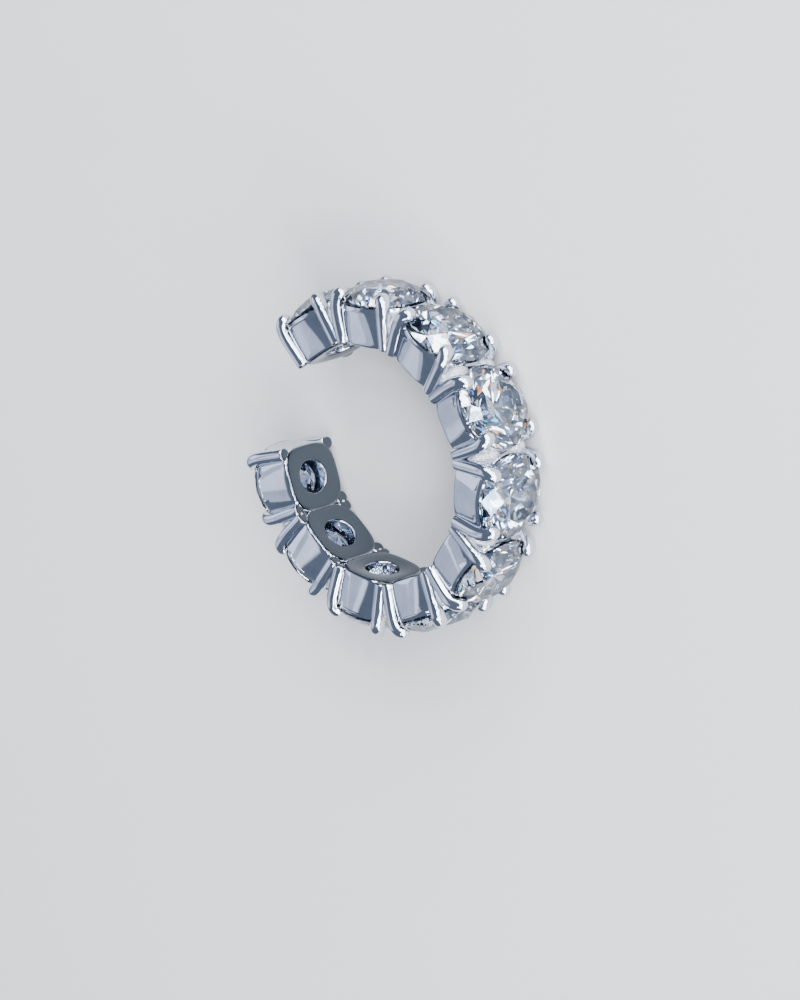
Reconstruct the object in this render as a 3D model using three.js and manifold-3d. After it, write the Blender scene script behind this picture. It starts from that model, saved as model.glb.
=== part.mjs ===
// An ear cuff: an open ring of round brilliants, each in a four-prong cup of polished white metal.
//
// The cups stand side by side with their backs to the ear and are soldered into one C-shaped row,
// so all the metal is one solid. Each stone is a piece of its own, held under the tips of four
// prongs. The cuff lies on its side: the ring's axis is +Z, the mouth that the ear goes through
// faces -X, and the origin is the middle of the base of the bounding box. Sizes are millimetres.

import * as THREE from "three";
import { ConvexGeometry } from "three/addons/geometries/ConvexGeometry.js";
import { mergeVertices } from "three/addons/utils/BufferGeometryUtils.js";
import Module from "manifold-3d";

const wasm = await Module();
wasm.setup();

// The row
const STONE_COUNT = 10;
const BORE_RADIUS = 4.88; // from the ring's axis to the flat back of a cup
const CUP_GAP = 0.12; // between neighbouring cups at their rims
const SOLDER_OVERLAP = 0.05; // how far each cup's back runs into its neighbour's

// Round brilliant
const STONE_DIAMETER = 3.5;
const TABLE_DIAMETER = 2.0; // across the table's corners
const CROWN_HEIGHT = 0.53;
const GIRDLE_THICKNESS = 0.1;
const PAVILION_DEPTH = 1.5;
const STAR_REACH = 0.5; // share of the way from the table's edge to the girdle
const LOWER_REACH = 0.78; // share of the way from the girdle to the culet
const STONE_TURN = THREE.MathUtils.degToRad(17); // each stone is set turned by this from the last

// Cup
const STONE_CLEARANCE = 0.03; // between a stone and the metal round it
const CULET_RECESS = 0.25; // how far the stone's point stays back from the bore
const RIM_DROP = 0.04; // from the girdle's lower edge down to the rim
const RIM_LEDGE = 0.04; // how far the rim stands out past the girdle
const WINDOW_DIAMETER = 1.42; // the hole behind each stone
const DISH_DIAMETER = 2.2; // the hollow polished round the window
const DISH_DEPTH = 0.06;
const BACK_SQUARENESS = 3.2; // the back's outline: 2 is round, more is squarer
const RIM_SQUARENESS = 2;

// Prongs
const PRONG_DIAMETER = 0.6; // across its flats
const BEAD_DIAMETER = 0.64; // the rounded end
const PRONG_INSET = 0.34; // from the cup's back edge in to the prong's foot, across the row
const PRONG_DIRECTION = THREE.MathUtils.degToRad(47.5); // from along the row, at the girdle
const PRONG_BITE = 0.1; // how far the girdle is let into each prong
const PRONG_LEAN = 0.2; // how far the bead leans in over the stone
const BEAD_RISE = 0.27; // from the girdle's middle up to the bead's centre
const PRONG_ROOT = 0.2; // the foot starts this far behind the back, and is cut flush

// Facets of the round forms
const CUP_SIDES = 20;
const PRONG_SIDES = 8;
const PRONG_STEPS = 3;
const BEAD_RINGS = 4;
const WALL_STEPS = 1;
const DISH_STEPS = 1;

// Radii from the ring's axis, and half the angle between neighbouring cups
const culetRadius = BORE_RADIUS + CULET_RECESS;
const girdleLow = culetRadius + PAVILION_DEPTH;
const girdleMiddle = girdleLow + GIRDLE_THICKNESS / 2;
const girdleHigh = girdleLow + GIRDLE_THICKNESS;
const tableRadius = girdleHigh + CROWN_HEIGHT;
const rimRadius = girdleLow - RIM_DROP;
const rimHalfWidth = STONE_DIAMETER / 2 + RIM_LEDGE;
const halfPitch = Math.atan((rimHalfWidth + CUP_GAP / 2) / rimRadius);
const backHalfWidth = BORE_RADIUS * Math.tan(halfPitch) + SOLDER_OVERLAP;
const flatToCorner = 1 / Math.cos(Math.PI / CUP_SIDES);
const prongCorner = PRONG_DIAMETER / 2 / Math.cos(Math.PI / PRONG_SIDES);

// The stone's outline on the half-turn between two of its main facets: where the star facets
// end above the girdle, and where the lower girdle facets end below it
const FOLD = 8;
const betweenMains = Math.cos(Math.PI / FOLD);
const starTip = {
  reach: THREE.MathUtils.lerp(TABLE_DIAMETER, STONE_DIAMETER, STAR_REACH) / 2 / betweenMains,
  height: THREE.MathUtils.lerp(tableRadius, girdleHigh, STAR_REACH),
};
const lowerTip = {
  reach: ((STONE_DIAMETER / 2) * (1 - LOWER_REACH)) / betweenMains,
  height: THREE.MathUtils.lerp(girdleLow, culetRadius, LOWER_REACH),
};

const metal = new THREE.MeshStandardMaterial({
  name: "polished white metal",
  color: 0xc9ccd4,
  metalness: 1,
  roughness: 0.08,
});
const gem = new THREE.MeshStandardMaterial({
  name: "colourless stone",
  color: 0xf2f6ff,
  metalness: 0,
  roughness: 0.02,
});

// A closed geometry as a solid that can be joined and cut.
function solidOf(geometry) {
  const bare = geometry.clone();
  bare.deleteAttribute("normal");
  bare.deleteAttribute("uv");
  const merged = mergeVertices(bare, 1e-5);
  return new wasm.Manifold(
    new wasm.Mesh({
      numProp: 3,
      vertProperties: merged.attributes.position.array,
      triVerts: new Uint32Array(merged.index.array),
    }),
  );
}

function geometryOf(solid) {
  const mesh = solid.getMesh();
  const geometry = new THREE.BufferGeometry();
  geometry.setAttribute("position", new THREE.BufferAttribute(mesh.vertProperties, 3));
  geometry.setIndex(new THREE.BufferAttribute(mesh.triVerts, 1));
  return geometry;
}

// In a cup's own frame +X runs along the row, +Y across it, and +Z out of the ring, with Z = 0
// on the ring's axis. This takes that frame to the cup's place in the ring.
function cupPlace(index) {
  const angle = (index - (STONE_COUNT - 1) / 2) * 2 * halfPitch;
  const along = new THREE.Vector3(Math.sin(angle), -Math.cos(angle), 0);
  const outward = new THREE.Vector3(Math.cos(angle), Math.sin(angle), 0);
  return new THREE.Matrix4().makeBasis(along, new THREE.Vector3(0, 0, -1), outward);
}

// The wall's distance from the cup's axis: a soft square at the back and a circle at the rim.
function wallDistance(angle, share) {
  const half = THREE.MathUtils.lerp(backHalfWidth, rimHalfWidth, share);
  const power = THREE.MathUtils.lerp(BACK_SQUARENESS, RIM_SQUARENESS, share);
  const spread = Math.abs(Math.cos(angle)) ** power + Math.abs(Math.sin(angle)) ** power;
  return (flatToCorner * half) / spread ** (1 / power);
}

function cupBlock() {
  const height = rimRadius - BORE_RADIUS;
  const turn = Math.PI / CUP_SIDES; // so that flats, and not corners, face along and across
  const block = new THREE.CylinderGeometry(1, 1, height, CUP_SIDES, WALL_STEPS, false, turn);
  block.rotateX(Math.PI / 2);
  const at = block.attributes.position;
  for (let i = 0; i < at.count; i++) {
    const share = at.getZ(i) / height + 0.5;
    const angle = Math.atan2(at.getY(i), at.getX(i));
    const reach = Math.hypot(at.getX(i), at.getY(i)) * wallDistance(angle, share);
    at.setXYZ(i, reach * Math.cos(angle), reach * Math.sin(angle), BORE_RADIUS + share * height);
  }
  return solidOf(block);
}

// One prong, on the side of the cup given by two signs: a wire that flares from the cup's back
// to the girdle, and leans in over the stone to a rounded end.
function prong(alongSign, acrossSign) {
  const girdleReach = (STONE_DIAMETER + PRONG_DIAMETER) / 2 - PRONG_BITE;
  const direction = new THREE.Vector2(Math.cos(PRONG_DIRECTION), Math.sin(PRONG_DIRECTION));
  const atFoot = new THREE.Vector2(
    backHalfWidth - PRONG_DIAMETER / 2,
    backHalfWidth - PRONG_INSET,
  );
  const atGirdle = direction.clone().multiplyScalar(girdleReach);
  const atBead = direction.clone().multiplyScalar(girdleReach - PRONG_LEAN);
  const atRoot = atFoot.clone().lerp(atGirdle, -PRONG_ROOT / (rimRadius - BORE_RADIUS));
  const point = (flat, height) =>
    new THREE.Vector3(alongSign * flat.x, acrossSign * flat.y, height);
  const bead = point(atBead, girdleMiddle + BEAD_RISE);
  const path = new THREE.CatmullRomCurve3([
    point(atRoot, BORE_RADIUS - PRONG_ROOT),
    point(atFoot, BORE_RADIUS),
    point(atGirdle, rimRadius),
    bead,
  ]);
  const section = new THREE.Shape();
  section.absarc(0, 0, prongCorner, 0, 2 * Math.PI);
  const wire = new THREE.ExtrudeGeometry(section, {
    steps: PRONG_STEPS,
    curveSegments: PRONG_SIDES / 2,
    extrudePath: path,
  });
  const end = new THREE.SphereGeometry(BEAD_DIAMETER / 2, PRONG_SIDES, BEAD_RINGS);
  end.rotateX(Math.PI / 2);
  end.translate(bead.x, bead.y, bead.z);
  return solidOf(wire).add(solidOf(end));
}

function cupMetal() {
  let metalwork = cupBlock();
  for (const alongSign of [-1, 1]) {
    for (const acrossSign of [-1, 1]) metalwork = metalwork.add(prong(alongSign, acrossSign));
  }
  return metalwork.trimByPlane([0, 0, 1], BORE_RADIUS);
}

// What hollows a cup: the dish and window in its back, the seat that follows the stone's
// outline, and the room over the girdle that cuts the notch in each prong.
function cupHollow() {
  const below = BORE_RADIUS - PRONG_ROOT;
  const above = tableRadius + BEAD_DIAMETER;
  const windowReach = WINDOW_DIAMETER / 2;
  const girdleReach = STONE_DIAMETER / 2;
  const dish = [];
  for (let step = 0; step <= DISH_STEPS; step++) {
    const share = step / DISH_STEPS;
    const reach = THREE.MathUtils.lerp(DISH_DIAMETER / 2, windowReach, share);
    dish.push([reach, BORE_RADIUS + DISH_DEPTH * Math.sin((share * Math.PI) / 2)]);
  }
  const seatSlope = (girdleLow - lowerTip.height) / (girdleReach - lowerTip.reach);
  const seatStart = girdleLow - (girdleReach + STONE_CLEARANCE - windowReach) * seatSlope;
  const outline = [
    [0, below],
    [DISH_DIAMETER / 2, below],
    ...dish,
    [windowReach, Math.max(seatStart, BORE_RADIUS + DISH_DEPTH + STONE_CLEARANCE)],
    [girdleReach + STONE_CLEARANCE, girdleLow],
    [girdleReach + STONE_CLEARANCE, girdleHigh],
    [starTip.reach + STONE_CLEARANCE, starTip.height],
    [TABLE_DIAMETER / 2 + STONE_CLEARANCE, tableRadius],
    [TABLE_DIAMETER / 2 + STONE_CLEARANCE, above],
    [0, above],
  ];
  const corners = outline.map(([reach, height]) => new THREE.Vector2(reach * flatToCorner, height));
  const turned = new THREE.LatheGeometry(corners, CUP_SIDES, Math.PI / CUP_SIDES);
  turned.rotateX(Math.PI / 2);
  return solidOf(turned);
}

// A round brilliant of 57 facets round a sixteen-sided girdle: eight mains on the crown and
// eight on the pavilion, with the stars and the girdle facets between them.
function brilliant(turn) {
  const points = [new THREE.Vector3(0, 0, culetRadius)];
  const ring = (count, start, reach, height) => {
    for (let i = 0; i < count; i++) {
      const angle = turn + start + (2 * Math.PI * i) / count;
      points.push(new THREE.Vector3(reach * Math.cos(angle), reach * Math.sin(angle), height));
    }
  };
  ring(FOLD, 0, TABLE_DIAMETER / 2, tableRadius);
  ring(FOLD, Math.PI / FOLD, starTip.reach, starTip.height);
  ring(2 * FOLD, 0, STONE_DIAMETER / 2, girdleHigh);
  ring(2 * FOLD, 0, STONE_DIAMETER / 2, girdleLow);
  ring(FOLD, Math.PI / FOLD, lowerTip.reach, lowerTip.height);
  const stone = new ConvexGeometry(points);
  stone.deleteAttribute("normal");
  return mergeVertices(stone, 1e-5);
}

const places = Array.from({ length: STONE_COUNT }, (_, index) => cupPlace(index));
const cup = cupMetal();
const room = cupHollow();
const inPlace = (solid) => places.map((place) => solid.transform(place.elements));
const frame = wasm.Manifold.union(inPlace(cup)).subtract(wasm.Manifold.union(inPlace(room)));

const cuff = new THREE.Mesh(geometryOf(frame), metal);
cuff.name = "cuff_frame";
const stones = places.map((place, index) => {
  const stone = new THREE.Mesh(brilliant(index * STONE_TURN).applyMatrix4(place), gem.clone());
  stone.name = `stone_${String(index + 1).padStart(2, "0")}`;
  return stone;
});

// The base of the bounding box is brought onto the floor, and its middle over the origin.
const group = new THREE.Group();
group.add(cuff, ...stones);
const box = new THREE.Box3().setFromObject(group);
const middle = box.getCenter(new THREE.Vector3());
for (const mesh of group.children) {
  mesh.geometry.translate(-middle.x, -middle.y, -box.min.z);
  mesh.geometry.computeVertexNormals();
}
group.name = "ear_cuff";

export default group;
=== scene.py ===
"""An ear cuff: ten round brilliants in four-prong cups of white metal, soldered in a row."""

import math

import bmesh
import bpy
from bpy.props import FloatProperty, FloatVectorProperty, IntProperty, PointerProperty
from mathutils import Matrix, Vector
from mathutils.geometry import interpolate_bezier


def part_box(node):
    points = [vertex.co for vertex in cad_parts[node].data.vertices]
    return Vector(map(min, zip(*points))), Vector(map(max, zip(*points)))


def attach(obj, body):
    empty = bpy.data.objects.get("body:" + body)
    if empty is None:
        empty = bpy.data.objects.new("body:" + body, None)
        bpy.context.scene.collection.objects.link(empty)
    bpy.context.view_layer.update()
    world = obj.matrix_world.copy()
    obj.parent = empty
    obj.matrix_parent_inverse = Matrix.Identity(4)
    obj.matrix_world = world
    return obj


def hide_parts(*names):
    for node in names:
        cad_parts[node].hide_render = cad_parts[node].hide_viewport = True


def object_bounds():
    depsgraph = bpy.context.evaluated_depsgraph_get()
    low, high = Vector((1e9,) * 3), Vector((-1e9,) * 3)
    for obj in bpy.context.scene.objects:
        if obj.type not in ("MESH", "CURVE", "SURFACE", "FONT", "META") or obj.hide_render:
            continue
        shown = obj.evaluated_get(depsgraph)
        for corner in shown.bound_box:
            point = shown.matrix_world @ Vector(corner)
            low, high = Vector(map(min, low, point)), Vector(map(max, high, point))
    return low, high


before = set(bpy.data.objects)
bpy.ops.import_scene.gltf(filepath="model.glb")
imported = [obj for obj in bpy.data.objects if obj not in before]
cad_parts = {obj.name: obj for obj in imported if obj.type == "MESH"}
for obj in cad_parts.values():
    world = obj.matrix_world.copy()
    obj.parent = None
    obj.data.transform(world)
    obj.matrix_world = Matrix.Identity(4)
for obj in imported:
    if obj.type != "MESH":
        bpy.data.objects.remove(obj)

bl_info = {
    "name": "Ear Cuff",
    "version": (1, 0, 0),
    "blender": (4, 5, 0),
    "location": "View3D > Sidebar > Ear Cuff",
    "description": "Models a cuff of round brilliants in four-prong cups",
    "category": "Add Mesh",
}

CAD_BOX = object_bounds()
STONE_NODES = sorted(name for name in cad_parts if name.startswith("stone_"))
METAL_NODE = "cuff_frame"
MM = 0.001  # everything is modelled in millimetres, and scaled to metres as it is put in place
BORE = 4.88  # millimetres from the ring's axis to the flat back of a cup
RIM = 1.71  # millimetres from a cup's back up to its rim
RIM_HALF = 1.79  # millimetres from a cup's axis to its side at the rim
RIM_GAP = 0.12  # millimetres between neighbouring cups at their rims
BACK_SQUARENESS = 3.2  # outline of a cup's back: 2 is round, and more is squarer
RIM_DROP = 0.04  # millimetres from the girdle down to the rim


def length(name, description, default_mm):
    return FloatProperty(
        name=name,
        description=description,
        default=default_mm * MM,
        min=0.0,
        unit="LENGTH",
        precision=5,
    )


def share(name, description, default):
    return FloatProperty(
        name=name,
        description=description,
        default=default,
        min=0.0,
        max=1.0,
        subtype="FACTOR",
    )


def colour(name, description, default):
    return FloatVectorProperty(
        name=name,
        description=description,
        default=default,
        min=0.0,
        max=1.0,
        size=3,
        subtype="COLOR",
    )


class CuffRow(bpy.types.PropertyGroup):
    """How the cups stand round the ear."""

    bore_radius: length("Bore radius", "From the ring's axis to a cup's flat back", BORE)
    axis_offset: length("Axis offset", "From the origin to the ring's axis", 0.424)
    pitch: FloatProperty(
        name="Pitch",
        description="Angle between neighbouring cups",
        default=2 * math.atan((RIM_HALF + RIM_GAP / 2) / (BORE + RIM)),
        subtype="ANGLE",
    )


class CuffStone(bpy.types.PropertyGroup):
    """Proportions of the round brilliants."""

    diameter: length("Diameter", "Across the girdle", 3.5)
    table: length("Table", "Across the table's corners", 2.0)
    crown: length("Crown height", "From the girdle up to the table", 0.53)
    girdle: length("Girdle", "Thickness of the girdle at its widest", 0.1)
    pavilion: length("Pavilion depth", "From the girdle down to the culet", 1.5)
    recess: length("Culet recess", "How far the culet stays back from the bore", 0.25)
    star: share("Star length", "Share of the way from the table to the girdle", 0.5)
    lower: share("Lower facet length", "Share of the way from the girdle to the culet", 0.78)
    turn: FloatProperty(
        name="Turn",
        description="How far each stone is set turned from the one before",
        default=math.radians(17),
        subtype="ANGLE",
    )
    clearance: length("Clearance", "Between a stone and the metal round it", 0.02)


class CuffCup(bpy.types.PropertyGroup):
    """The walls and backs of the cups."""

    back_half: length("Back half width", "From a cup's axis to its side at the back", 1.419)
    rim_half: length("Rim half width", "From a cup's axis to its side at the rim", RIM_HALF)
    back_edge: length("Back edge", "Radius of the rolled edge round a cup's back", 0.13)
    rim_lip: length("Rim lip", "Height of the band round a cup's rim", 0.12)
    window: length("Window", "Across the hole behind each stone", 1.38)
    dish: length("Dish depth", "How deep the back is hollowed towards the window", 0.06)
    sides: IntProperty(
        name="Sides",
        description="Facets round a cup; a prong has a third as many",
        default=96,
        min=24,
        max=192,
    )


class CuffProng(bpy.types.PropertyGroup):
    """The prongs, four to a cup."""

    foot: length("Foot", "Diameter of a prong at the back of its cup", 0.59)
    shaft: length("Shaft", "Diameter of a prong beside the girdle", 0.61)
    claw: length("Claw", "Diameter of a prong's rounded end", 0.615)
    along: length("Foot along the row", "From a cup's axis to a foot, along the row", 1.20)
    across: length("Foot across the row", "From a cup's axis to a foot, across the row", 1.22)
    bite: length("Bite", "How far a prong is notched for the girdle", 0.11)
    lean: length("Lean", "How far a claw bends in over the stone", 0.2)
    rise: length("Rise", "From the middle of the girdle up to the middle of a claw", 0.27)
    direction: FloatProperty(
        name="Direction",
        description="Which way a claw stands from the cup's axis, from along the row",
        default=math.radians(47.5),
        subtype="ANGLE",
    )


class CuffFinish(bpy.types.PropertyGroup):
    """Colours of the metal, the stones and the floor."""

    metal: colour("Metal", "Polished white metal", (0.66, 0.69, 0.765))
    metal_cloud: colour("Clouded metal", "The same, where less bright", (0.56, 0.59, 0.67))
    # Painted shade: the metal on faces that look at the ring's axis is painted nearly black, a dark
    # painted reflection.
    metal_painted_bore_shade: colour("Metal in the bore", "Painted shade on the metal in the bore", (0.085, 0.1, 0.12))
    stone: colour("Stone", "Body colour of the stones", (0.52, 0.60, 0.78))
    floor: colour("Floor", "Pale matt floor", (0.64, 0.64, 0.65))


def settings():
    scene = bpy.context.scene
    return scene.cuff_row, scene.cuff_stone, scene.cuff_cup, scene.cuff_prong, scene.cuff_finish


def heights():
    """Distances in millimetres from the ring's axis to the levels of a stone in its cup."""
    row, stone = settings()[:2]
    culet = (row.bore_radius + stone.recess) / MM
    low = culet + stone.pavilion / MM
    high = low + stone.girdle / MM
    return {
        "bore": row.bore_radius / MM,
        "culet": culet,
        "girdle_low": low,
        "girdle_high": high,
        "rim": low - RIM_DROP,
        "table": high + stone.crown / MM,
    }


def cup_places():
    """For each cup, the matrix from its own frame in millimetres to the row frame in metres.

    In a cup's frame +X runs along the row, +Y across it and +Z out of the ring.
    """
    row = settings()[0]
    count = len(STONE_NODES)
    low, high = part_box(METAL_NODE)
    centre = Vector((-row.axis_offset, 0.0, (low[2] + high[2]) / 2))
    places = []
    for index in range(count):
        angle = (index - (count - 1) / 2) * row.pitch
        out = Vector((math.cos(angle), math.sin(angle), 0.0))
        along = Vector((math.sin(angle), -math.cos(angle), 0.0))
        across = out.cross(along)
        turn = Matrix((along, across, out)).transposed().to_4x4()
        places.append(Matrix.Translation(centre) @ turn @ Matrix.Scale(MM, 4))
    return places


def verts_of(geometry):
    return [part for part in geometry if isinstance(part, bmesh.types.BMVert)]


def edges_of(geometry):
    return [part for part in geometry if isinstance(part, bmesh.types.BMEdge)]


def edges_between(bm, verts):
    held = set(verts)
    return [edge for edge in bm.edges if held.issuperset(edge.verts)]


def close_and_turn_out(bm, gap=1e-4):
    bmesh.ops.remove_doubles(bm, verts=bm.verts, dist=gap)
    bmesh.ops.dissolve_degenerate(bm, dist=gap / 4, edges=bm.edges)
    bmesh.ops.recalc_face_normals(bm, faces=bm.faces)


def put_in_places(source, places):
    """Copies a cup-frame bmesh to each place, and frees it."""
    shape = bpy.data.meshes.new("one")
    source.to_mesh(shape)
    source.free()
    row = bmesh.new()
    for place in places:
        held = set(row.verts)
        row.from_mesh(shape)
        fresh = [vert for vert in row.verts if vert not in held]
        bmesh.ops.transform(row, matrix=place, verts=fresh)
    bpy.data.meshes.remove(shape)
    return row


def make_piece(name, bm, materials, replaced, sharp=math.radians(35)):
    """The bmesh as a piece that rides on the cuff and stands for its CAD nodes."""
    mesh = bpy.data.meshes.new(name)
    bm.to_mesh(mesh)
    bm.free()
    if sharp is None:
        mesh.shade_flat()
    else:
        mesh.shade_smooth()
        mesh.set_sharp_from_angle(angle=sharp)
    piece = bpy.data.objects.new(name, mesh)
    bpy.context.collection.objects.link(piece)
    for material in materials:
        mesh.materials.append(material)
    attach(piece, "root")
    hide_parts(*replaced)
    return piece


# Cups


def outline_reach(angle, half, squareness):
    """Distance from a cup's axis to an outline that is round at 2 and squarer above it."""
    spread = abs(math.cos(angle)) ** squareness + abs(math.sin(angle)) ** squareness
    return half / spread ** (1 / squareness)


def cup_rows():
    """Rows of a cup's wall, from its rim down its outside, over its back and up its seat.

    Each row is a half width, a squareness and a height, the lengths in millimetres. The second
    value is the numbers of the rows that end a face of the seat.
    """
    _row, stone, cup = settings()[:3]
    level = heights()
    back, rim = cup.back_half / MM, cup.rim_half / MM
    bore, top = level["bore"], level["rim"]
    girdle = stone.diameter / 2 / MM
    rows = []
    lip = cup.rim_lip / MM
    below = 1 - (lip + 0.07) / (top - bore)
    for part in (below, 0.75, 0.6, 0.45, 0.3, 0.16):
        half = back + (rim - back) * part
        squareness = BACK_SQUARENESS + (2 - BACK_SQUARENESS) * part
        rows.append((half, squareness, bore + (top - bore) * part))
    edge = cup.back_edge / MM
    for turn in (math.radians(18 * step) for step in range(6)):
        flare = (rim - back) / (top - bore) * edge * (1 - math.sin(turn))
        half = back + flare - edge * (1 - math.cos(turn))
        rows.append((half, BACK_SQUARENESS, bore + edge * (1 - math.sin(turn))))
    window, dish = cup.window / 2 / MM, cup.dish / MM
    rows += [
        (1.22, 2.9, bore + 0.002),
        (1.12, 2.6, bore + 0.1 * dish),
        (1.02, 2.3, bore + 0.35 * dish),
        (0.92, 2.1, bore + 0.68 * dish),
        (window + 0.09, 2, bore + 0.95 * dish),
        (window + 0.05, 2, bore + dish + 0.01),
        (window + 0.015, 2, bore + dish + 0.04),
        (window, 2, bore + dish + 0.09),
    ]
    lower_reach = girdle * (1 - stone.lower) / math.cos(math.pi / 8)
    slope = stone.pavilion / MM * stone.lower / (girdle - lower_reach)
    gap = stone.clearance / MM

    def seat(reach):
        return level["girdle_low"] - (girdle + gap - reach) * slope

    rows += [
        (window, 2, (bore + seat(window)) / 2),
        (window, 2, seat(window) - 0.05),
        (window + 0.02, 2, seat(window) - 0.005),
    ]
    seat_rows = [
        (window + 0.07, 2, seat(window + 0.05) - 0.005),
        (1.1, 2, seat(1.1) - 0.01),
        (1.45, 2, seat(1.45) - 0.01),
        (rim - 0.06, 2, top - 0.012),
    ]
    numbers = range(len(rows), len(rows) + len(seat_rows))
    rows += seat_rows
    rows += [
        (rim - 0.048, 2, top - 0.001),
        (rim - 0.036, 2, top - 0.004),
        (rim - 0.03, 2, top - 0.02),
        (rim - 0.024, 2, top - lip + 0.03),
        (rim - 0.012, 2, top - lip + 0.008),
        (rim, 2, top - lip - 0.012),
        (rim - 0.002, 2.02, top - lip - 0.035),
        (rim - 0.014, 2.04, top - lip - 0.055),
    ]
    return rows, numbers


def cup_body():
    """One cup: a ring of points run down the wall, over the back and up the seat to the rim.

    The faces of the seat have the second material.
    """
    sides = settings()[2].sides
    bm = bmesh.new()
    ring = bmesh.ops.create_circle(bm, cap_ends=False, radius=1.0, segments=sides)["verts"]
    rows, seat = cup_rows()
    edges = list(bm.edges)
    for number, (half, squareness, height) in enumerate(rows + rows[:1]):
        if number:
            grown = bmesh.ops.extrude_edge_only(bm, edges=edges)["geom"]
            ring = verts_of(grown)
            for face in {face for vert in ring for face in vert.link_faces}:
                face.material_index = int(number in seat)
        for vert in ring:
            angle = math.atan2(vert.co.y, vert.co.x)
            reach = outline_reach(angle, half, squareness)
            vert.co = (reach * math.cos(angle), reach * math.sin(angle), height)
        edges = edges_between(bm, ring)
    close_and_turn_out(bm)
    return bm


# Prongs


def sweep(bm, stations, sides):
    """A closed round bar through the stations, each a centre, a direction and a radius.

    Each ring is turned from the one before only as far as the bar bends, so the bar has no twist.
    """
    centre, way, radius = stations[0]
    turn = way.to_track_quat("Z", "Y").to_matrix().to_4x4()
    before = Matrix.Translation(centre) @ turn @ Matrix.Scale(radius, 4)
    made = bmesh.ops.create_circle(bm, cap_ends=True, radius=1.0, segments=sides, matrix=before)
    edges = edges_between(bm, made["verts"])
    for centre, next_way, radius in stations[1:]:
        turn = way.rotation_difference(next_way).to_matrix().to_4x4() @ turn
        way = next_way
        here = Matrix.Translation(centre) @ turn @ Matrix.Scale(radius, 4)
        grown = bmesh.ops.extrude_edge_only(bm, edges=edges)["geom"]
        ring = verts_of(grown)
        edges = [edge for edge in edges_of(grown) if all(vert in ring for vert in edge.verts)]
        bmesh.ops.transform(bm, matrix=here @ before.inverted(), verts=ring)
        before = here
    bmesh.ops.contextual_create(bm, geom=edges)


def prong_line():
    """A prong's foot, the handles of its curve and its claw, on the +X +Y side of a cup."""
    _row, stone, _cup, prong = settings()[:4]
    level = heights()
    way = Vector((math.cos(prong.direction), math.sin(prong.direction), 0.0))
    reach = (stone.diameter + prong.shaft) / 2 / MM - prong.bite / MM
    foot = Vector((prong.along / MM, prong.across / MM, level["bore"]))
    elbow = way * reach + Vector((0, 0, level["rim"]))
    claw = way * (reach - prong.lean / MM)
    claw.z = (level["girdle_low"] + level["girdle_high"]) / 2 + prong.rise / MM
    near = foot.lerp(elbow, 0.75) + way * 0.03
    far = elbow + way * 0.14 + Vector((0, 0, 0.13))
    return foot, near, far, claw


def prong_stations():
    """Centres, directions and radii from a prong's foot to its rounded end."""
    prong = settings()[3]
    foot_radius, shaft_radius, end = (d / 2 / MM for d in (prong.foot, prong.shaft, prong.claw))
    line = prong_line()
    path = interpolate_bezier(*line, 25)
    rise = (line[1] - line[0]).normalized()
    stations = []
    for turn in range(0, 90, 11):
        angle = math.radians(turn)
        centre = line[0] + rise * (0.02 + 0.1 * (1 - math.cos(angle)))
        stations.append((centre, rise, foot_radius * (0.62 + 0.38 * math.sin(angle))))
    last = len(path) - 1
    for number in range(3, last + 1):
        part = number / last
        way = (path[min(number + 1, last)] - path[number - 1]).normalized()
        if part < 0.7:
            radius = foot_radius + (shaft_radius - foot_radius) * part / 0.7
        else:
            radius = shaft_radius + (end - shaft_radius) * (part - 0.7) / 0.3
        stations.append((path[number], way, radius))
    tip = stations[-1][1]
    for turn in (12, 25, 38, 50, 61, 71, 80, 87):
        angle = math.radians(turn)
        stations.append((line[3] + tip * end * math.sin(angle), tip, end * math.cos(angle)))
    return stations


def stone_envelope():
    """A turned shape a little larger than a stone, which notches the prongs that hold it."""
    stone = settings()[1]
    level = heights()
    gap = stone.clearance / MM
    girdle, table = stone.diameter / 2 / MM, stone.table / 2 / MM
    fold = math.cos(math.pi / 8)
    star_reach = (table + (girdle - table) * stone.star) / fold
    star_height = level["table"] + (level["girdle_high"] - level["table"]) * stone.star
    lower_reach = girdle * (1 - stone.lower) / fold
    lower_height = level["girdle_low"] + (level["culet"] - level["girdle_low"]) * stone.lower
    profile = [
        (0.0, level["culet"] - gap),
        (lower_reach + gap, lower_height),
        (girdle + gap, level["girdle_low"]),
        (girdle + gap, level["girdle_high"]),
        (star_reach + gap, star_height + gap / 2),
        (table + gap, level["table"] + gap / 2),
        (table + gap, level["table"] + 1.0),
        (0.0, level["table"] + 1.0),
    ]
    bm = bmesh.new()
    line = [bm.verts.new((reach, 0.0, height)) for reach, height in profile]
    edges = [bm.edges.new(pair) for pair in zip(line, line[1:])]
    bmesh.ops.spin(
        bm,
        geom=line + edges,
        cent=(0, 0, 0),
        axis=(0, 0, 1),
        angle=math.tau,
        steps=96,
        use_merge=True,
    )
    close_and_turn_out(bm)
    return bm


def cut_from(bm, tool):
    """bm less the tool's shape, by a Boolean modifier that is applied."""
    meshes, objects = [], []
    for name, source in (("kept", bm), ("cutter", tool)):
        mesh = bpy.data.meshes.new(name)
        source.to_mesh(mesh)
        source.free()
        meshes.append(mesh)
        objects.append(bpy.data.objects.new(name, mesh))
        bpy.context.collection.objects.link(objects[-1])
    cut = objects[0].modifiers.new("Notch", "BOOLEAN")
    cut.object, cut.operation, cut.solver = objects[1], "DIFFERENCE", "EXACT"
    shaped = objects[0].evaluated_get(bpy.context.evaluated_depsgraph_get())
    result = bmesh.new()
    result.from_mesh(shaped.to_mesh())
    shaped.to_mesh_clear()
    for item in objects:
        bpy.data.objects.remove(item)
    for mesh in meshes:
        bpy.data.meshes.remove(mesh)
    return result


# Stones


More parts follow.
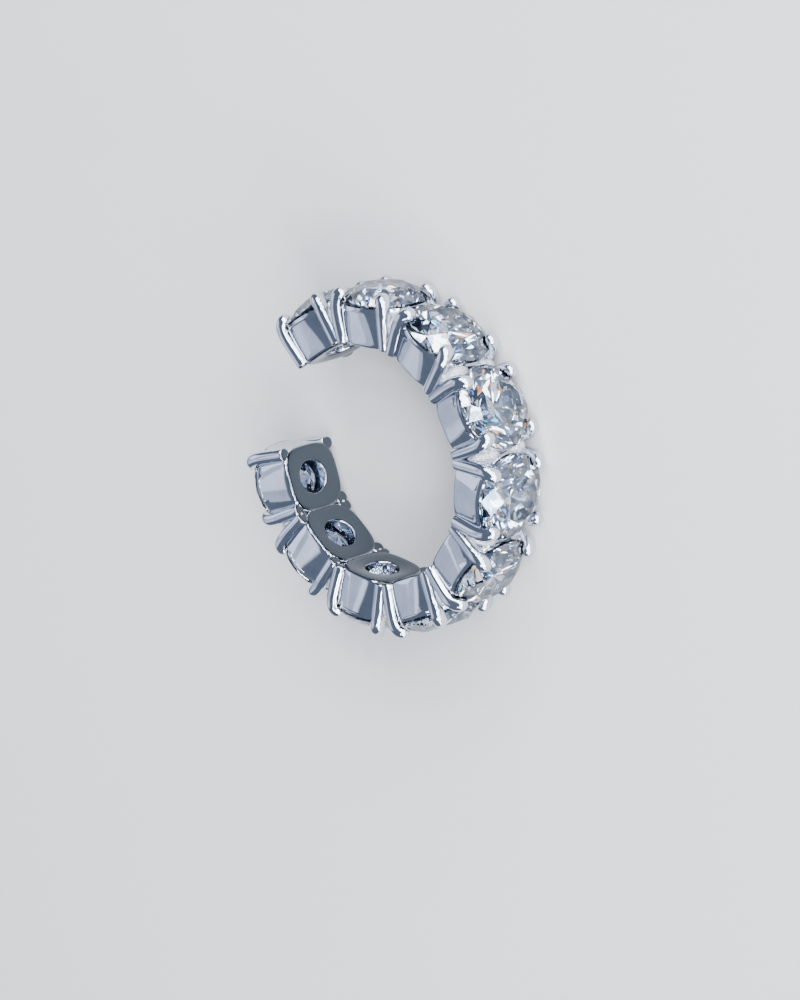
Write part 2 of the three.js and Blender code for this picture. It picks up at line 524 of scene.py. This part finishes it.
def facet_tiers():
    """The brilliant's facets, tier by tier, in the order that they are cut.

    Each tier is a count, the first facet's direction and two points on that facet, as
    distances along its direction and heights.
    """
    stone = settings()[1]
    level = heights()
    girdle, table = stone.diameter / 2 / MM, stone.table / 2 / MM
    high, low, top, culet = (level[k] for k in ("girdle_high", "girdle_low", "table", "culet"))
    eighth, sixteenth = math.pi / 8, math.pi / 16
    star = (table + (girdle - table) * stone.star) / math.cos(eighth)
    star_height = top + (high - top) * stone.star
    lower = girdle * (1 - stone.lower) / math.cos(eighth)
    lower_height = low + (culet - low) * stone.lower
    near = math.cos(sixteenth)
    return [
        (8, 0.0, (table, top), (girdle, high)),
        (8, 0.0, (girdle, low), (0.0, culet)),
        (8, eighth, (1.035 * girdle, low), (0.0, culet)),
        (16, sixteenth, (star * near, star_height), (girdle * near, high)),
        (16, sixteenth, (girdle * near, low), (lower * near, lower_height)),
        (8, eighth, (table * math.cos(eighth), top), (star, star_height)),
    ]


def brilliant():
    """A round blank, cut facet by facet as a cutter does."""
    stone = settings()[1]
    level = heights()
    bm = bmesh.new()
    depth = level["table"] - level["culet"]
    bmesh.ops.create_cone(
        bm,
        cap_ends=True,
        segments=64,
        radius1=stone.diameter / 2 / MM,
        radius2=stone.diameter / 2 / MM,
        depth=depth,
        matrix=Matrix.Translation((0, 0, level["culet"] + depth / 2)),
    )
    for count, first, inner, outer in facet_tiers():
        upper = inner[1] + outer[1] > level["girdle_low"] + level["girdle_high"]
        run, fall = outer[0] - inner[0], outer[1] - inner[1]
        flat = Vector((-fall, run)) if upper == (run > 0) else Vector((fall, -run))
        for index in range(count):
            angle = first + math.tau * index / count
            way = Vector((math.cos(angle), math.sin(angle), 0.0))
            point = way * inner[0] + Vector((0, 0, inner[1]))
            normal = (way * flat.x + Vector((0, 0, flat.y))).normalized()
            cut_facet(bm, point, normal)
    close_and_turn_out(bm, 2e-4)
    return bm


def cut_facet(bm, point, normal):
    parts = bm.verts[:] + bm.edges[:] + bm.faces[:]
    cut = bmesh.ops.bisect_plane(
        bm, geom=parts, dist=1e-5, plane_co=point, plane_no=normal, clear_outer=True
    )["geom_cut"]
    rim = [edge for edge in edges_of(cut) if edge.is_boundary]
    if len(rim) > 2:
        bmesh.ops.contextual_create(bm, geom=rim)
    bmesh.ops.remove_doubles(bm, verts=bm.verts, dist=1e-5)


# Materials


def new_material(name):
    material = bpy.data.materials.new(name)
    material.use_nodes = True
    shader = material.node_tree.nodes["Principled BSDF"]
    return material, material.node_tree, shader


def add_noise(tree, coordinates, scale, detail=3.0, roughness=0.5):
    noise = tree.nodes.new("ShaderNodeTexNoise")
    noise.inputs["Scale"].default_value = scale
    noise.inputs["Detail"].default_value = detail
    noise.inputs["Roughness"].default_value = roughness
    tree.links.new(coordinates, noise.inputs["Vector"])
    return noise.outputs["Fac"]


def add_cells(tree, coordinates, scale):
    """Cells of flat random colour, each about 1 / scale metres across."""
    cells = tree.nodes.new("ShaderNodeTexVoronoi")
    cells.inputs["Scale"].default_value = scale
    tree.links.new(coordinates, cells.inputs["Vector"])
    return cells


def add_ramp(tree, value, stops, blend="LINEAR"):
    ramp = tree.nodes.new("ShaderNodeValToRGB")
    ramp.color_ramp.interpolation = blend
    tree.links.new(value, ramp.inputs["Fac"])
    while len(ramp.color_ramp.elements) < len(stops):
        ramp.color_ramp.elements.new(0.5)
    for element, (position, shade) in zip(ramp.color_ramp.elements, stops):
        element.position = position
        element.color = (*shade, 1.0)
    return ramp.outputs["Color"]


def add_range(tree, value, low, high, start=0.35, end=0.65):
    spread = tree.nodes.new("ShaderNodeMapRange")
    spread.inputs["From Min"].default_value = start
    spread.inputs["From Max"].default_value = end
    spread.inputs["To Min"].default_value = low
    spread.inputs["To Max"].default_value = high
    tree.links.new(value, spread.inputs["Value"])
    return spread.outputs["Result"]


def object_coordinates(tree):
    return tree.nodes.new("ShaderNodeTexCoord").outputs["Object"]


def turned_outwards(tree, coordinates):
    """1 where a face looks away from the ring's axis, -1 where it looks at it, 0 between."""
    level = tree.nodes.new("ShaderNodeMapping")
    level.inputs["Location"].default_value = (settings()[0].axis_offset, 0.0, 0.0)
    level.inputs["Scale"].default_value = (1.0, 1.0, 0.0)
    tree.links.new(coordinates, level.inputs["Vector"])
    out = tree.nodes.new("ShaderNodeVectorMath")
    out.operation = "NORMALIZE"
    tree.links.new(level.outputs["Vector"], out.inputs[0])
    look = tree.nodes.new("ShaderNodeVectorMath")
    look.operation = "DOT_PRODUCT"
    tree.links.new(out.outputs["Vector"], look.inputs[0])
    tree.links.new(tree.nodes.new("ShaderNodeNewGeometry").outputs["Normal"], look.inputs[1])
    return look.outputs["Value"]


def add_bump(tree, height, depth, below=None):
    bump = tree.nodes.new("ShaderNodeBump")
    bump.inputs["Distance"].default_value = depth
    tree.links.new(height, bump.inputs["Height"])
    if below:
        tree.links.new(below, bump.inputs["Normal"])
    return bump.outputs["Normal"]


def polished_metal():
    """White metal with faint waves and marks, with painted shade on the faces that look at the
    axis, where the metal is painted nearly black.
    """
    found = bpy.data.materials.get("polished_white_metal")
    if found:
        return found
    finish = settings()[4]
    material, tree, shader = new_material("polished_white_metal")
    where = object_coordinates(tree)
    cloud = add_noise(tree, where, scale=900.0, detail=4.0, roughness=0.6)
    shades = ((0.3, tuple(finish.metal_cloud)), (0.62, tuple(finish.metal)))
    outside = add_ramp(tree, cloud, shades)
    # Painted shade: faces that look at the ring's axis take the nearly black bore colour in place
    # of the metal's own.
    clear_of_painted_shade = add_range(tree, turned_outwards(tree, where), 0.0, 1.0, -0.85, -0.5)
    base = tree.nodes.new("ShaderNodeMix")
    base.data_type = "RGBA"
    base.inputs["A"].default_value = (*finish.metal_painted_bore_shade, 1.0)
    tree.links.new(clear_of_painted_shade, base.inputs["Factor"])
    tree.links.new(outside, base.inputs["B"])
    tree.links.new(base.outputs["Result"], shader.inputs["Base Color"])
    shader.inputs["Metallic"].default_value = 1.0
    tree.links.new(add_range(tree, cloud, 0.07, 0.12), shader.inputs["Roughness"])
    waves = add_bump(tree, add_noise(tree, where, scale=700.0, detail=1.0), depth=8e-6)
    scratches = add_noise(tree, where, scale=9000.0, detail=2.0, roughness=0.7)
    marks = add_bump(tree, scratches, depth=5e-7, below=waves)
    tree.links.new(marks, shader.inputs["Normal"])
    return material


def burred_metal_painted_glints():
    """A stone's seat as a burr leaves it: small hollows, with painted glints and painted shade,
    each cell painted from near black to near white.
    """
    found = bpy.data.materials.get("burred_metal_painted_glints")
    if found:
        return found
    material, tree, shader = new_material("burred_metal_painted_glints")
    cells = add_cells(tree, object_coordinates(tree), scale=3600.0)
    # Painted glints and painted shade: the cells' colours run from near black to near white,
    # standing in for light caught in the seat.
    stops = ((0.3, (0.05, 0.06, 0.08)), (0.42, (0.3, 0.34, 0.42)), (0.56, (0.9, 0.94, 1.0)))
    base = add_ramp(tree, cells.outputs["Color"], stops)
    tree.links.new(base, shader.inputs["Base Color"])
    shader.inputs["Metallic"].default_value = 1.0
    shader.inputs["Roughness"].default_value = 0.2
    hollows = add_bump(tree, cells.outputs["Distance"], depth=6e-5)
    tree.links.new(hollows, shader.inputs["Normal"])
    return material


def solder_metal():
    """Solder as it sets: bright white metal with a fine uneven skin."""
    found = bpy.data.materials.get("solder_metal")
    if found:
        return found
    material, tree, shader = new_material("solder_metal")
    where = object_coordinates(tree)
    cloud = add_noise(tree, where, scale=4000.0, detail=3.0, roughness=0.6)
    shades = ((0.35, (0.72, 0.73, 0.76)), (0.62, (0.95, 0.95, 0.94)))
    base = add_ramp(tree, cloud, shades)
    tree.links.new(base, shader.inputs["Base Color"])
    shader.inputs["Metallic"].default_value = 1.0
    tree.links.new(add_range(tree, cloud, 0.3, 0.48), shader.inputs["Roughness"])
    ripples = add_noise(tree, where, scale=6500.0, detail=3.0, roughness=0.65)
    tree.links.new(add_bump(tree, ripples, depth=1.4e-4), shader.inputs["Normal"])
    return material


def cut_stone():
    """A clear, bright stone; small flakes of painted colour stand for the light of its finest
    facets and its fire: painted flashes, painted sparkle and shade, and painted reflections.
    """
    found = bpy.data.materials.get("clear_cut_stone")
    if found:
        return found
    finish = settings()[4]
    material, tree, shader = new_material("clear_cut_stone")
    flakes = add_cells(tree, object_coordinates(tree), scale=3300.0)
    chance = tree.nodes.new("ShaderNodeSeparateColor")
    tree.links.new(flakes.outputs["Color"], chance.inputs["Color"])
    clear = tuple(finish.stone)
    orange = (0.95, 0.62, 0.3)
    blue = (0.3, 0.5, 0.95)
    dim = tuple(0.42 * c for c in clear)
    bright = tuple(min(1.0, 1.4 * c) for c in clear)
    # Painted fire and painted sparkle: a few cells orange or blue, the rest dimmer or brighter than
    # the body colour.
    stops = ((0.0, orange), (0.05, blue), (0.1, dim), (0.38, clear), (0.7, bright))
    base = add_ramp(tree, chance.outputs["Red"], stops, "CONSTANT")
    tree.links.new(base, shader.inputs["Base Color"])
    # Painted reflections: the cells darken the stone's reflections by differing amounts, some kept
    # near white.
    gleams = ((0.0, (0.3, 0.35, 0.46)), (0.35, (0.5, 0.6, 0.78)), (0.66, (0.96, 0.98, 1.0)))
    gleam = add_ramp(tree, chance.outputs["Green"], gleams, "CONSTANT")
    tree.links.new(gleam, shader.inputs["Specular Tint"])
    shader.inputs["Roughness"].default_value = 0.0
    shader.inputs["IOR"].default_value = 2.42
    shader.inputs["Transmission Weight"].default_value = 1.0
    return material


def pale_floor():
    finish = settings()[4]
    material, tree, shader = new_material("pale_floor")
    where = object_coordinates(tree)
    grain = add_noise(tree, where, scale=60.0)
    tone = tuple(finish.floor)
    faint = tuple(0.985 * c for c in tone)
    base = add_ramp(tree, grain, ((0.3, faint), (0.7, tone)))
    tree.links.new(base, shader.inputs["Base Color"])
    shader.inputs["Roughness"].default_value = 0.85
    shader.inputs["Specular IOR Level"].default_value = 0.2
    return material


# Operators


class CUFF_OT_make_cups(bpy.types.Operator):
    """Model the cups that stand round the ear with their flat backs to it"""

    bl_idname = "cuff.make_cups"
    bl_label = "Cups"

    def execute(self, context):
        cups = put_in_places(cup_body(), cup_places())
        finishes = [polished_metal(), burred_metal_painted_glints()]
        make_piece("cup_row", cups, finishes, [METAL_NODE])
        return {"FINISHED"}


class CUFF_OT_make_prongs(bpy.types.Operator):
    """Model the four prongs of each cup, notched for the stone that they hold"""

    bl_idname = "cuff.make_prongs"
    bl_label = "Prongs"

    def execute(self, context):
        sides = settings()[2].sides // 3
        four = bmesh.new()
        for along in (1, -1):
            for across in (1, -1):
                held = set(four.verts)
                sweep(four, prong_stations(), sides)
                fresh = [vert for vert in four.verts if vert not in held]
                bmesh.ops.scale(four, vec=(along, across, 1), verts=fresh)
        close_and_turn_out(four)
        notched = cut_from(four, stone_envelope())
        prongs = put_in_places(notched, cup_places())
        crease = math.radians(17)
        make_piece("prongs", prongs, [polished_metal()], [METAL_NODE], crease)
        return {"FINISHED"}


# Solder between two cups, on one side: how far each lump's middle stands across the row and
# above the corner where the cups' backs meet, and its half sizes along, across and outwards.
# All are in millimetres; the first lump is measured from the middle of a prong's foot.
SOLDER_FOOT = (0.03, 0.09, (0.19, 0.14, 0.1))
SOLDER_WEB = (0.72, 1.02, (0.36, 0.74, 0.62))


class CUFF_OT_make_solder(bpy.types.Operator):
    """Model the small fillets of solder between neighbouring cups"""

    bl_idname = "cuff.make_solder"
    bl_label = "Solder"

    def execute(self, context):
        row, _stone, _cup, prong = settings()[:4]
        half_pitch = row.pitch / 2
        corner = row.bore_radius / MM / math.cos(half_pitch)
        joint = bmesh.new()
        lumps = ((SOLDER_FOOT, prong.across / MM, 3), (SOLDER_WEB, 0.0, 4))
        for side in (1, -1):
            for (across, above, half_sizes), start, levels in lumps:
                place = Matrix.Translation((0, side * (start + across), corner + above))
                shape = place @ Matrix.Diagonal((*half_sizes, 1.0))
                bmesh.ops.create_icosphere(joint, subdivisions=levels, radius=1.0, matrix=shape)
        half_turn = Matrix.Rotation(half_pitch, 4, "Y")
        places = [place @ half_turn for place in cup_places()[1:]]
        row_of_joints = put_in_places(joint, places)
        make_piece("solder_fillets", row_of_joints, [solder_metal()], [METAL_NODE])
        return {"FINISHED"}


class CUFF_OT_make_stones(bpy.types.Operator):
    """Cut the brilliants, and set each in its cup"""

    bl_idname = "cuff.make_stones"
    bl_label = "Stones"

    def execute(self, context):
        turn = settings()[1].turn
        for index, (node, place) in enumerate(zip(STONE_NODES, cup_places())):
            cut = brilliant()
            bmesh.ops.rotate(
                cut, cent=(0, 0, 0), matrix=Matrix.Rotation(index * turn, 3, "Z"), verts=cut.verts
            )
            bmesh.ops.transform(cut, matrix=place, verts=cut.verts)
            number = node.rsplit("_", 1)[1]
            name = f"brilliant_{number}"
            make_piece(name, cut, [cut_stone()], [node], sharp=None)
        return {"FINISHED"}


LIGHT_DISTANCE = 0.34  # metres from the cuff to each light


def softbox(name, azimuth, elevation, wide, high, glow, tint):
    """A studio light that faces the cuff; its place and size, as the cuff sees it, in degrees."""
    light = bpy.data.lights.new(name, "AREA")
    light.shape = "RECTANGLE"
    light.size = 2 * LIGHT_DISTANCE * math.tan(math.radians(wide) / 2)
    light.size_y = 2 * LIGHT_DISTANCE * math.tan(math.radians(high) / 2)
    light.energy = glow * math.pi * light.size * light.size_y
    light.color = tint
    lamp = bpy.data.objects.new(name, light)
    turn, lift = math.radians(azimuth), math.radians(elevation)
    way = Vector((math.cos(lift) * math.cos(turn), math.cos(lift) * math.sin(turn), math.sin(lift)))
    lamp.location = way * LIGHT_DISTANCE
    lamp.rotation_euler = way.to_track_quat("Z", "Y").to_euler()
    lamp.visible_camera = False
    bpy.context.collection.objects.link(lamp)
    return lamp


# Each panel's azimuth, elevation, width and height in degrees, glow and tint
PANELS = (
    (206, 39, 62, 54, 0.80, (0.74, 0.79, 1.0)),
    (186, 30, 26, 26, 1.1, (0.80, 0.84, 1.0)),
    (229, 36, 13, 30, 0.6, (0.78, 0.83, 1.0)),
    (200, 62, 24, 14, 0.8, (0.80, 0.84, 1.0)),
)
FLASH_GLOW = 3.5
# Each tinted light's azimuth, elevation and size in degrees, and its tint
FLASHES = (
    (22, 33, 11, (1.0, 0.36, 0.08)),
    (77, 27, 11, (1.0, 0.45, 0.12)),
    (-14, 22, 11, (1.0, 0.6, 0.15)),
    (37, 42, 11, (0.15, 0.36, 1.0)),
    (92, 20, 11, (0.2, 0.4, 1.0)),
    (3, 24, 11, (0.15, 0.4, 1.0)),
    (60, 11, 11, (0.08, 0.65, 1.0)),
    (48, 25, 9, (0.15, 0.8, 0.7)),
)
SPARK_COUNT = 36
SPARK_SIZE = 6.5  # degrees
SPARK_GLOW = 40
SPARK_TINTS = ((1.0, 0.98, 0.95), (0.88, 0.94, 1.0))
GOLDEN_STEP = 0.618034  # share of the range from one spark to the next, which leaves no pattern


def spark_places():
    """Even but irregular places, in degrees, for the small lights on the camera's side."""
    for number in range(SPARK_COUNT):
        azimuth = -42 + 164 * (number * GOLDEN_STEP % 1)
        elevation = 7 + 42 * (number + 0.5) / SPARK_COUNT
        yield azimuth, elevation


# The camera's direction, right side and distance in metres from the middle of the ring
CAMERA_TOWARD = (0.55715, 0.47916, 0.67822)
CAMERA_RIGHT = (0.67894, 0.20743, -0.70428)
CAMERA_DISTANCE = 0.1247


class CUFF_OT_make_stage(bpy.types.Operator):
    """Set the pale floor, the soft lights and the camera"""

    bl_idname = "cuff.make_stage"
    bl_label = "Stage"

    def execute(self, context):
        bm = bmesh.new()
        bmesh.ops.create_grid(bm, x_segments=2, y_segments=2, size=0.6)
        mesh = bpy.data.meshes.new("floor")
        bm.to_mesh(mesh)
        bm.free()
        floor = bpy.data.objects.new("floor", mesh)
        mesh.materials.append(pale_floor())
        bpy.context.collection.objects.link(floor)

        world = bpy.data.worlds.new("studio")
        world.use_nodes = True
        sky = world.node_tree.nodes["Background"]
        sky.inputs["Color"].default_value = (0.60, 0.74, 1.0, 1.0)
        sky.inputs["Strength"].default_value = 0.27
        context.scene.world = world

        for number, box in enumerate(PANELS):
            softbox(f"panel_{number + 1}", *box)
        for number, (azimuth, elevation, size, tint) in enumerate(FLASHES):
            softbox(f"flash_{number + 1}", azimuth, elevation, size, size, FLASH_GLOW, tint)
        for number, place in enumerate(spark_places()):
            tint = SPARK_TINTS[number % 2]
            softbox(f"spark_{number + 1}", *place, SPARK_SIZE, SPARK_SIZE, SPARK_GLOW, tint)

        middle = (CAD_BOX[0][2] + CAD_BOX[1][2]) / 2
        centre = Vector((-settings()[0].axis_offset, 0.0, middle))
        toward = Vector(CAMERA_TOWARD).normalized()
        right = Vector(CAMERA_RIGHT)
        up = toward.cross(right).normalized()
        right = up.cross(toward)
        lens = bpy.data.cameras.new("camera")
        lens.lens = 109.4
        lens.sensor_width = 36.0
        lens.shift_x = 0.0096
        lens.shift_y = -0.043
        lens.clip_start = 0.005
        camera = bpy.data.objects.new("camera", lens)
        turn = Matrix((right, up, toward)).transposed().to_4x4()
        camera.matrix_world = Matrix.Translation(centre + toward * CAMERA_DISTANCE) @ turn
        bpy.context.collection.objects.link(camera)
        context.scene.camera = camera
        return {"FINISHED"}


class CUFF_PT_panel(bpy.types.Panel):
    """The cuff's pieces and their sizes"""

    bl_idname = "CUFF_PT_panel"
    bl_label = "Ear Cuff"
    bl_space_type = "VIEW_3D"
    bl_region_type = "UI"
    bl_category = "Ear Cuff"

    def draw(self, context):
        for group in settings():
            box = self.layout.box()
            for name in group.bl_rna.properties.keys():
                if name not in {"rna_type", "name"}:
                    box.prop(group, name)
        for operator in OPERATORS:
            self.layout.operator(operator.bl_idname)


GROUPS = {
    "cuff_row": CuffRow,
    "cuff_stone": CuffStone,
    "cuff_cup": CuffCup,
    "cuff_prong": CuffProng,
    "cuff_finish": CuffFinish,
}
OPERATORS = (
    CUFF_OT_make_cups,
    CUFF_OT_make_prongs,
    CUFF_OT_make_solder,
    CUFF_OT_make_stones,
    CUFF_OT_make_stage,
)


def register():
    for name, group in GROUPS.items():
        bpy.utils.register_class(group)
        setattr(bpy.types.Scene, name, PointerProperty(type=group))
    for item in (*OPERATORS, CUFF_PT_panel):
        bpy.utils.register_class(item)


def unregister():
    for item in reversed((*OPERATORS, CUFF_PT_panel)):
        bpy.utils.unregister_class(item)
    for name, group in reversed(GROUPS.items()):
        delattr(bpy.types.Scene, name)
        bpy.utils.unregister_class(group)


def main():
    register()
    bpy.ops.cuff.make_cups()
    bpy.ops.cuff.make_prongs()
    bpy.ops.cuff.make_solder()
    bpy.ops.cuff.make_stones()
    bpy.ops.cuff.make_stage()


if __name__ == "__main__":
    main()
